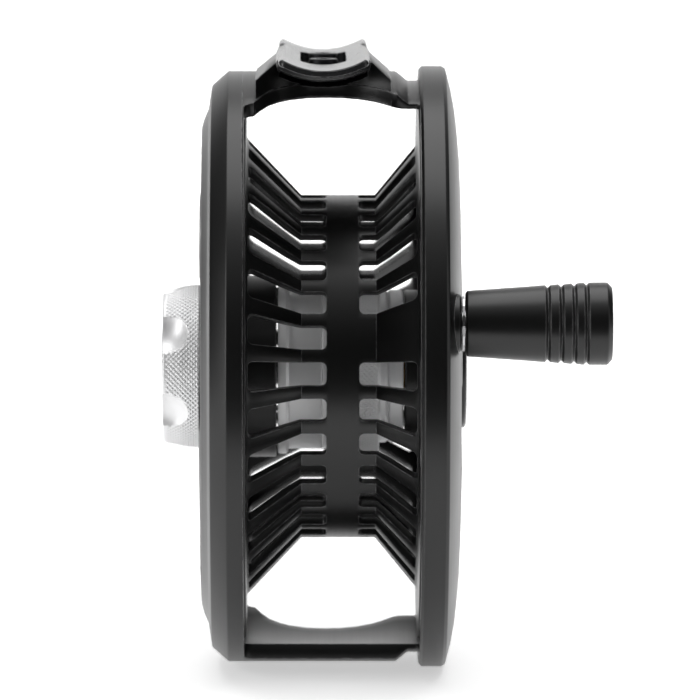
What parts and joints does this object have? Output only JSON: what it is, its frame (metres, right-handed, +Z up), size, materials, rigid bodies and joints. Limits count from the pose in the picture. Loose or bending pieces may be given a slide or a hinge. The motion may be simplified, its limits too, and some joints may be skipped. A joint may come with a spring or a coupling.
{
  "type": "fly fishing reel",
  "caption": "Large-arbor fly reel with a slotted spool in a ported frame, a palming rim, a crank handle, a sealed disc drag with a scalloped knob, and a channelled foot.",
  "frame": {"origin": "the middle of the bounding box at rest; the spool's axis runs parallel to X through y 0, z -1.497 mm, and the middle of the arbor is at x -7.05 mm", "axes": "+X along the spool's axis towards the handle, +Z up towards the reel foot, Y along the reel foot"},
  "size_m": [0.0702, 0.096, 0.099],
  "materials": {
    "anodised_black": "matte black anodised, bead-blasted machined aluminium with bright worn edges",
    "anodised_silver": "clear anodised satin aluminium, diamond-knurled grips",
    "stainless_steel": "turned and ground stainless steel",
    "black_steel": "black oxide steel screws",
    "bearing_bronze": "oiled bearing bronze",
    "carbon_friction": "woven carbon-fibre friction disc",
    "seal_rubber": "black nitrile seal",
    "acetal": "natural acetal bush"
  },
  "bodies": {
    "frame": {"frame": "anodised_black", "reel_foot": "anodised_black", "foot_screw_front": "black_steel", "foot_screw_rear": "black_steel", "spindle": "stainless_steel", "knob_screw": "stainless_steel", "drag_housing": "anodised_silver", "housing_screw_1": "stainless_steel", "housing_screw_2": "stainless_steel", "housing_screw_3": "stainless_steel", "stator_plate": "stainless_steel", "rotor_seal": "seal_rubber", "detent_ball": "stainless_steel", "detent_spring": "stainless_steel", "pawl_pin": "stainless_steel", "pawl_spring": "stainless_steel"},
    "knob": {"drag_knob": "anodised_silver", "knob_cap": "stainless_steel"},
    "thrust_group": {"thrust_ring": "stainless_steel", "thrust_pin_1": "stainless_steel", "thrust_pin_2": "stainless_steel", "thrust_pin_3": "stainless_steel", "thrust_washer_rear": "stainless_steel", "disc_spring_rear": "stainless_steel", "disc_spring_front": "stainless_steel", "thrust_washer_front": "stainless_steel"},
    "brake_plate": {"pressure_plate": "stainless_steel"},
    "brake_rotor": {"drag_rotor": "anodised_silver", "friction_disc_rear": "carbon_friction", "friction_disc_front": "carbon_friction"},
    "pawl": {"click_pawl": "stainless_steel"},
    "spool_sleeve": {"bearing_sleeve": "bearing_bronze", "bearing_inner_ring": "stainless_steel"},
    "spool_group": {"spool": "anodised_black", "spool_hub": "anodised_silver", "hub_screw_1": "stainless_steel", "hub_screw_2": "stainless_steel", "hub_screw_3": "stainless_steel", "click_gear": "stainless_steel", "one_way_clutch": "stainless_steel", "bearing_outer_ring": "stainless_steel", "bearing_cage": "bearing_bronze", "bearing_clip": "stainless_steel", "hub_cap": "anodised_black", "handle_stud": "stainless_steel", "handle_washer": "stainless_steel", "counterweight": "stainless_steel"},
    "handle": {"handle_knob": "anodised_black", "handle_bush_inner": "acetal", "handle_bush_outer": "acetal"}
  },
  "joints": [
    {"name": "drag_knob_turn", "type": "hinge", "parent": "frame", "child": "knob", "pos_m": [-0.03195, 0, -0.0015], "axis": [1, 0, 0], "range_deg": [0, 330]},
    {"name": "thrust_travel", "type": "slide", "parent": "frame", "child": "thrust_group", "axis": [1, 0, 0], "range_m": [0, 0.00051]},
    {"name": "pressure_plate_travel", "type": "slide", "parent": "frame", "child": "brake_plate", "axis": [1, 0, 0], "range_m": [0, 0.00016]},
    {"name": "brake_rotor_spin", "type": "hinge", "parent": "frame", "child": "brake_rotor", "pos_m": [-0.00705, 0, -0.0015], "axis": [1, 0, 0], "continuous": true},
    {"name": "click_pawl_lift", "type": "hinge", "parent": "frame", "child": "pawl", "pos_m": [-0.006, 0, 0.0098], "axis": [1, 0, 0], "range_deg": [0, 10]},
    {"name": "spool_removal", "type": "slide", "parent": "frame", "child": "spool_sleeve", "axis": [1, 0, 0], "range_m": [0, 0.04]},
    {"name": "spool_spin", "type": "hinge", "parent": "spool_sleeve", "child": "spool_group", "pos_m": [-0.00705, 0, -0.0015], "axis": [1, 0, 0], "continuous": true},
    {"name": "handle_spin", "type": "hinge", "parent": "spool_group", "child": "handle", "pos_m": [0.02345, -0.03922, 0.00901], "axis": [1, 0, 0], "continuous": true}
  ],
  "couplings": [
    {"joint": "thrust_travel", "follows": "drag_knob_turn", "m_per_rad": 0.000086812},
    {"joint": "pressure_plate_travel", "follows": "drag_knob_turn", "m_per_rad": 0.000026044},
    {"joint": "brake_rotor_spin", "follows": "spool_spin", "ratio": 1}
  ]
}
